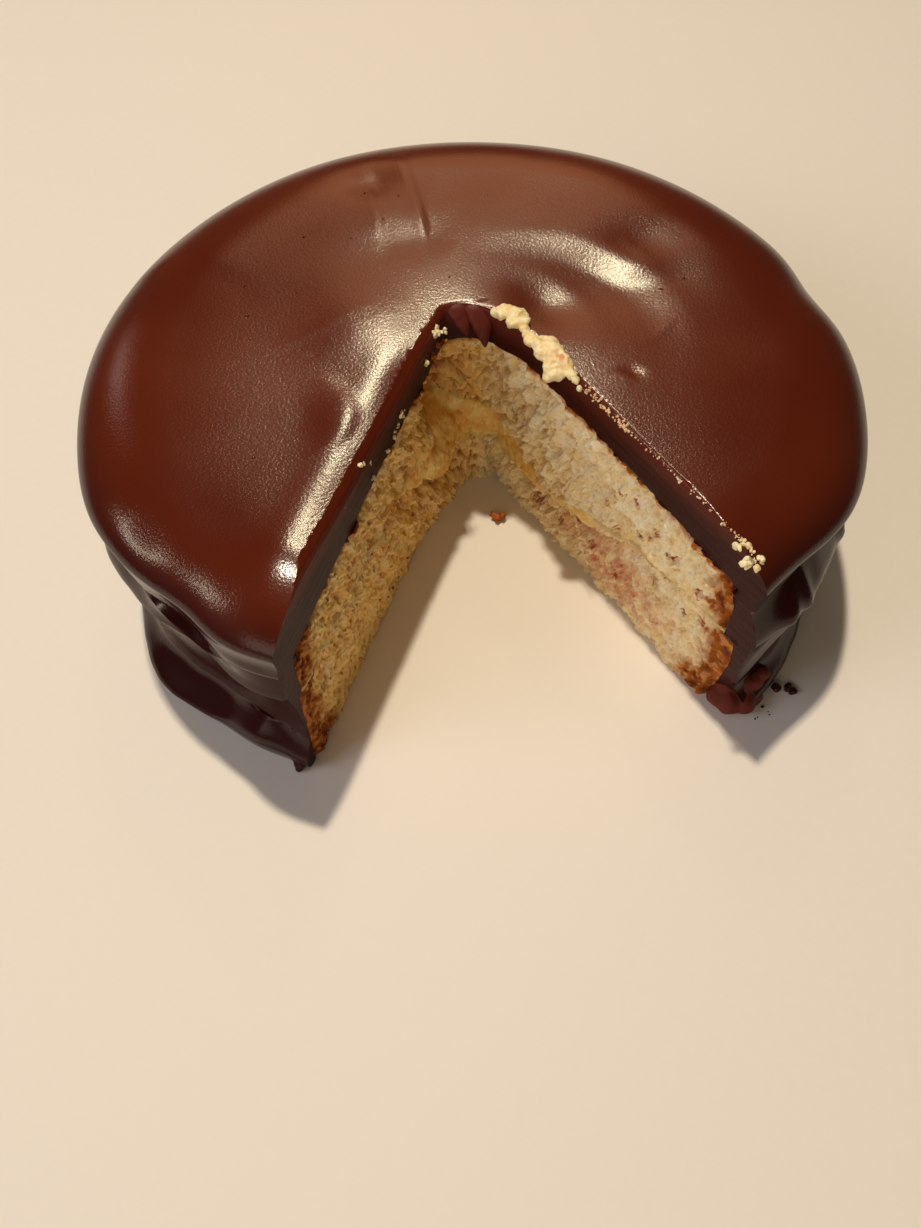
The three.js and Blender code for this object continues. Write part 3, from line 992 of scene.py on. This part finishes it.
smear = {  # a lump of custard cream dragged over the cut edge: x, y, z, radius
    "balls": [
        (7.4, 17.0, 70.2, 1.7), (9.0, 16.4, 70.6, 2.3), (11.4, 15.6, 70.8, 2.5), (13.4, 14.6, 70.8, 2.4),
        (12.0, 12.8, 70.2, 2.3), (14.4, 12.4, 70.6, 2.0), (14.6, 9.8, 70.2, 1.5), (15.2, 7.4, 70.2, 1.6),
        (16.4, 5.2, 70.4, 2.2), (18.2, 3.6, 70.8, 2.6), (20.6, 2.8, 71.0, 2.8), (18.9, 0.9, 70.2, 2.5),
        (21.6, 0.2, 71.0, 2.9), (23.2, -2.2, 70.9, 2.5), (20.8, -3.6, 70.0, 2.6), (22.2, -6.0, 69.4, 2.2),
        (20.2, -5.6, 68.2, 1.9), (24.6, -4.4, 70.6, 2.0), (25.8, -7.2, 70.2, 1.5), (26.8, -9.4, 70.0, 1.1),
        (27.6, -11.6, 69.9, 0.8),
    ],
    "spot": {"x": 23.5, "y": -2.6, "spread": 2.0},  # where it is stained orange
}
piece = meltBalls("smeared_cream", smear["balls"], 0.34, cream, (2.4, 0.55), "cream_smear", 0.72)
p = pointsOf(piece)
setMask(piece, "spot", 0.9 * nearSpot(p[:, 0], p[:, 1], smear["spot"]) * ramp(-0.3, 0.3, rough(p, 1.5, 3)))

tipShreds = [  # tongue and flap of glaze hanging over the torn tip: x, y, z, half width, half thickness
    [
        (3.0, 24.0, 68.4, 4.8, 1.0), (3.1, 21.6, 69.4, 4.6, 1.0), (3.2, 19.4, 69.0, 4.2, 1.0),
        (3.5, 17.6, 67.2, 3.4, 1.0), (3.8, 16.2, 65.0, 2.5, 0.9), (4.0, 15.2, 62.8, 1.6, 0.8),
        (4.2, 14.6, 61.0, 0.8, 0.6), (4.3, 14.4, 60.0, 0.3, 0.3),
    ],
    [
        (-3.0, 24.0, 68.4, 4.0, 0.9), (-2.9, 21.6, 69.4, 4.0, 0.9), (-2.6, 19.6, 69.0, 3.6, 0.9),
        (-2.1, 18.0, 67.4, 2.8, 0.9), (-1.5, 16.8, 65.6, 1.9, 0.8), (-1.0, 16.0, 64.0, 1.0, 0.6),
        (-0.7, 15.7, 63.0, 0.3, 0.3),
    ],
]


def hangShreds():
    points, faces = [], []
    turn = np.linspace(0, 2 * math.pi, 20, endpoint=False)
    for rows in tipShreds:
        path = spline(np.array(rows), [5] * (len(rows) - 1))
        ahead = np.gradient(path[:, :3], axis=0)
        ahead /= np.linalg.norm(ahead, axis=1, keepdims=True)
        side = np.array([1.0, 0.25, 0.0])
        face = np.cross(ahead, side)
        rings = [row[:3] + row[3] * np.outer(np.cos(turn), side) + row[4] * np.outer(np.sin(turn), out)
                 for row, out in zip(path, face)]
        ribbon, sides = stackRings(rings)
        ribbon = ribbon + 0.25 * rough(ribbon, 2.5, 2)[:, None] * np.array([0.6, 1, 0.2])
        start = sum(len(part) for part in points)
        points.append(ribbon)
        faces += [[i + start for i in side] for side in sides]
    makePiece("glaze_shreds", np.concatenate(points), faces, cutChocolate)


hangShreds()
footDrip = [  # pointed drip where the left cut ends
    (-47.6, -77.0, 12.0, 2.2), (-47.4, -77.4, 8.0, 3.2), (-49.4, -77.0, 4.6, 4.2), (-46.6, -78.6, 4.6, 4.0),
    (-47.2, -80.6, 3.4, 3.4), (-47.4, -82.8, 2.2, 2.2), (-47.6, -84.4, 1.3, 1.4), (-44.6, -77.8, 5.0, 2.6),
]
meltBalls("left_drip", footDrip, 0.5, shadedSideChocolate, (5.0, 0.6))
footSlab = [  # broken foot of glaze where the right cut ends
    (68.8, -64.4, 3.0, 3.6), (71.4, -66.4, 3.4, 4.0), (74.6, -66.4, 3.4, 4.0), (77.4, -64.4, 3.0, 3.4),
    (70.6, -62.4, 6.0, 3.6), (74.0, -62.8, 6.8, 3.8), (77.4, -61.6, 6.4, 3.4), (80.0, -60.6, 8.6, 2.2),
]
meltBalls("right_foot", footSlab, 0.5, cutChocolate, (8.0, 0.7))
print("smear and feet ready")


# crumbs: small rough balls, alone or in clusters

def rollCrumbs(name, heaps, material, seed, masks=None):
    # heaps are rows of x, y, z, spread, number, smallest and largest radius
    rng = np.random.default_rng(seed)
    ball = bmesh.new()
    bmesh.ops.create_icosphere(ball, subdivisions=2, radius=1.0)
    base = np.array([v.co for v in ball.verts])
    corners = [[v.index for v in face.verts] for face in ball.faces]
    ball.free()
    points, faces = [], []
    for x, y, z, spread, number, small, large in heaps:
        for _ in range(number):
            middle = np.array([x, y, z]) + rng.normal(size=3) * spread * np.array([0.5, 0.5, 0.35])
            crumb = base * (1 + 0.45 * rough(base + rng.uniform(0, 90, 3), 1.3, 2))[:, None]
            crumb = crumb * rng.uniform(0.7, 1.2, 3) * rng.uniform(small, large) + middle
            crumb[:, 2] = np.maximum(crumb[:, 2], 0.02)
            faces.extend([[i + len(points) * len(base) for i in face] for face in corners])
            points.append(crumb)
    piece = makePiece(name, np.concatenate(points), faces, material)
    for mask, value in (masks or {}).items():
        setMask(piece, mask, np.full(len(points) * len(base), value))
    return piece


def onTop(x, y, above=0.2):
    return (x, y, float(glazeTop(np.array(x), np.array(y))) + above)


def lipLine(side, low, high, number, out, down, seed):
    # places scattered along a cut edge of the glaze
    rng = np.random.default_rng(seed)
    for along in rng.uniform(low, high, number):
        x, y, z = onCut(side, along, 0.0)
        level = float(glazeTop(np.array(x), np.array(y)))
        yield onCut(side, along, level - rng.uniform(*down), rng.uniform(*out))


cutHeaps = [  # pale crumbs caught on a cut: side, along and z of each, distance out, spread, number, radii
    ("left", [(50, 63), (48.5, 62), (52.5, 61), (55.5, 60.5)], -0.4, 1.0, 5, 0.3, 0.7),
    ("left", [(71.5, 67), (74, 67.6), (69.6, 64.5)], -1.0, 1.4, 7, 0.3, 0.8),
    ("left", [(70.1, 59.5), (32.6, 65), (61, 60)], 0.3, 0.7, 4, 0.3, 0.6),
    ("right", [(112.8, 66.6)], -0.6, 1.5, 10, 0.5, 1.1),
    ("right", [(117.0, 65.0)], -1.0, 2.0, 18, 0.4, 1.1),
]
paleHeaps = [(-8.6, 11.2, 68.6, 2.2, 26, 0.3, 0.75)]
for side, places, out, *heap in cutHeaps:
    paleHeaps += [(*onCut(side, s, z, out), *heap) for s, z in places]
rollCrumbs("pale_crumbs", paleHeaps, spongeUpper, 31)
dust = [(*place, 0.5, 2, 0.14, 0.42) for place in lipLine("right", 54, 72, 60, (-0.8, 0.3), (0.0, 1.6), 5)]
dust += [(*place, 0.4, 1, 0.12, 0.34) for place in lipLine("right", 70, 117, 80, (-0.6, 0.2), (0.0, 1.0), 6)]
dust += [(*place, 0.4, 1, 0.12, 0.34) for place in lipLine("left", 30, 100, 26, (-2.5, 0.0), (1.0, 6.0), 7)]
rollCrumbs("crumb_dust", dust, spongeUpper, 32, {"stain": 0.8})
brownHeaps = [(9.5, 1.6, 0.9, 1.8, 12, 0.5, 1.2), (6.8, 3.2, 0.5, 0.8, 4, 0.3, 0.6)]
brownHeaps += [(*onCut("left", s, z, 0.0), 1.2, 6, 0.4, 0.9) for s, z in ((23, 63), (27, 62.5), (20.5, 62))]
rollCrumbs("brown_crumbs", brownHeaps, spongeLower, 33, {"crust": 0.7, "golden": 0.8})
flecks = [
    (85.6, -60.7, 0.5, 1.0, 4, 0.6, 1.2),
    (89.7, -61.4, 0.5, 1.2, 5, 0.6, 1.3),
    (80, -70, 0.3, 3.5, 6, 0.2, 0.5),
]
rollCrumbs("glaze_flecks", flecks, shadedSideChocolate, 34)
bubbleSpots = [  # x, y of burst bubbles in the glazed top
    (-53.3, -33.3), (-40.4, -3.4), (-40.4, -12.0), (-32.0, -36.9), (-30.1, 69.2), (-20.2, 66.5),
    (-33.2, 48.0), (-69.9, 29.9), (-61.5, 28.4), (-59.7, 16.3), (-58.0, 7.4), (6.0, 66.9),
    (-24.3, 55.9), (-17.6, 32.1), (-5.4, 30.6), (35.0, 49.7), (37.1, 50.1), (42.9, 38.9),
    (52.6, 25.7), (59.4, 29.7), (59.7, 26.0), (23.9, 40.2), (13.6, 16.4), (-46.7, 49.2),
]
bubbles = [(*onTop(x, y, -0.25), 0.02, 1, 0.4, 0.62) for x, y in bubbleSpots]
rollCrumbs("glaze_bubbles", bubbles, chocolate, 35)
print("crumbs ready")


# floor, lights and camera

floorLook = {"tint": (226, 218, 204), "mottle": 4, "half": 4.0}


def layFloor():
    half = floorLook["half"]
    mesh = bpy.data.meshes.new("floor")
    corners = [(-half, -half, 0), (half, -half, 0), (half, half, 0), (-half, half, 0)]
    mesh.from_pydata(corners, [], [(0, 1, 2, 3)])
    floor = addObject("floor", mesh)
    mix = Recipe("pale table", {})
    mottle = mix.speckle(3.0, 3.0)
    tint = mix.blend(mottle, floorLook["tint"], [v + floorLook["mottle"] for v in floorLook["tint"]])
    material = mix.finish(tint, mix.remap(mottle, 0.3, 0.7, 0.6, 0.7), mottle, 0.1, 0.0002)
    mesh.materials.append(material)


lights = [  # name, place (m, about the cake), size (m), watts and colour
    ("lamp above", (-0.22, 0.40, 2.0), (0.08, 0.08), 31, (1.0, 0.88, 0.71)),
    ("window left", (-1.2, -0.5, 0.82), (0.8, 0.7), 8.0, (0.80, 0.82, 1.0)),
    ("front fill", (-0.5, -1.4, 0.8), (1.4, 0.8), 5.2, (1.0, 0.86, 0.68)),
]
reflectors = [  # seen only as highlights in the glaze
    ("lamp behind", (0.0, 0.95, 1.22), (0.18, 0.18), 8.5, (1.0, 0.87, 0.58)),
    ("warm wall", (0.0, 1.5, 0.95), (0.7, 0.6), 2.4, (1.0, 0.44, 0.20)),
    ("window", (-1.2, -0.5, 0.82), (0.4, 0.35), 1.0, (0.6, 0.65, 1.0)),
    ("left lamp", (-1.1, 0.02, 0.86), (0.14, 0.14), 1.3, (1.0, 0.86, 0.66)),
    ("pale panel", (-1.0, 1.0, 0.72), (0.16, 0.2), 0.35, (1.0, 0.80, 0.74)),
]
worldLook = {"tint": (1.0, 0.72, 0.5, 1.0), "strength": 0.06}


def hangLight(name, at, size, watts, tint):
    data = bpy.data.lights.new(name, "AREA")
    data.shape = "RECTANGLE"
    data.size, data.size_y = size
    data.energy = watts
    data.color = tint
    lamp = addObject(name, data)
    lamp.location = at
    lamp.rotation_mode = "QUATERNION"
    lamp.rotation_quaternion = (Vector((0, 0, 0.05)) - Vector(at)).to_track_quat("-Z", "Y")
    return lamp


view = {  # the camera, in millimetres about the cake's axis
    "at": (-3.477, -205.51, 261.86),
    "aim": (-3.477, -54.35, 30.9),
    "roll": -0.78,  # degrees, clockwise tilt of the frame
    "lens": 30.78,
    "sensor": 36,
    "nearest": 0.01,  # m
}


def placeCamera():
    data = bpy.data.cameras.new("camera")
    data.lens = view["lens"]
    data.sensor_width = view["sensor"]
    data.clip_start = view["nearest"]
    camera = addObject("camera", data)
    at, aim = Vector(toFrame(view["at"])), Vector(toFrame(view["aim"]))
    turn = (aim - at).to_track_quat("-Z", "Y").to_matrix()
    turn = turn @ Matrix.Rotation(math.radians(view["roll"]), 3, "Z")
    camera.location = at
    camera.rotation_mode = "QUATERNION"
    camera.rotation_quaternion = turn.to_quaternion()
    bpy.context.scene.camera = camera


layFloor()
for plan in lights:
    hangLight(*plan).visible_glossy = plan[0] != "window left"
for plan in reflectors:
    hangLight(*plan).visible_diffuse = False
placeCamera()
world = bpy.data.worlds.new("studio")
world.use_nodes = True
sky = world.node_tree.nodes["Background"]
sky.inputs["Color"].default_value = worldLook["tint"]
sky.inputs["Strength"].default_value = worldLook["strength"]
bpy.context.scene.world = world
bpy.context.scene.view_settings.view_transform = "Standard"
print("stage ready")
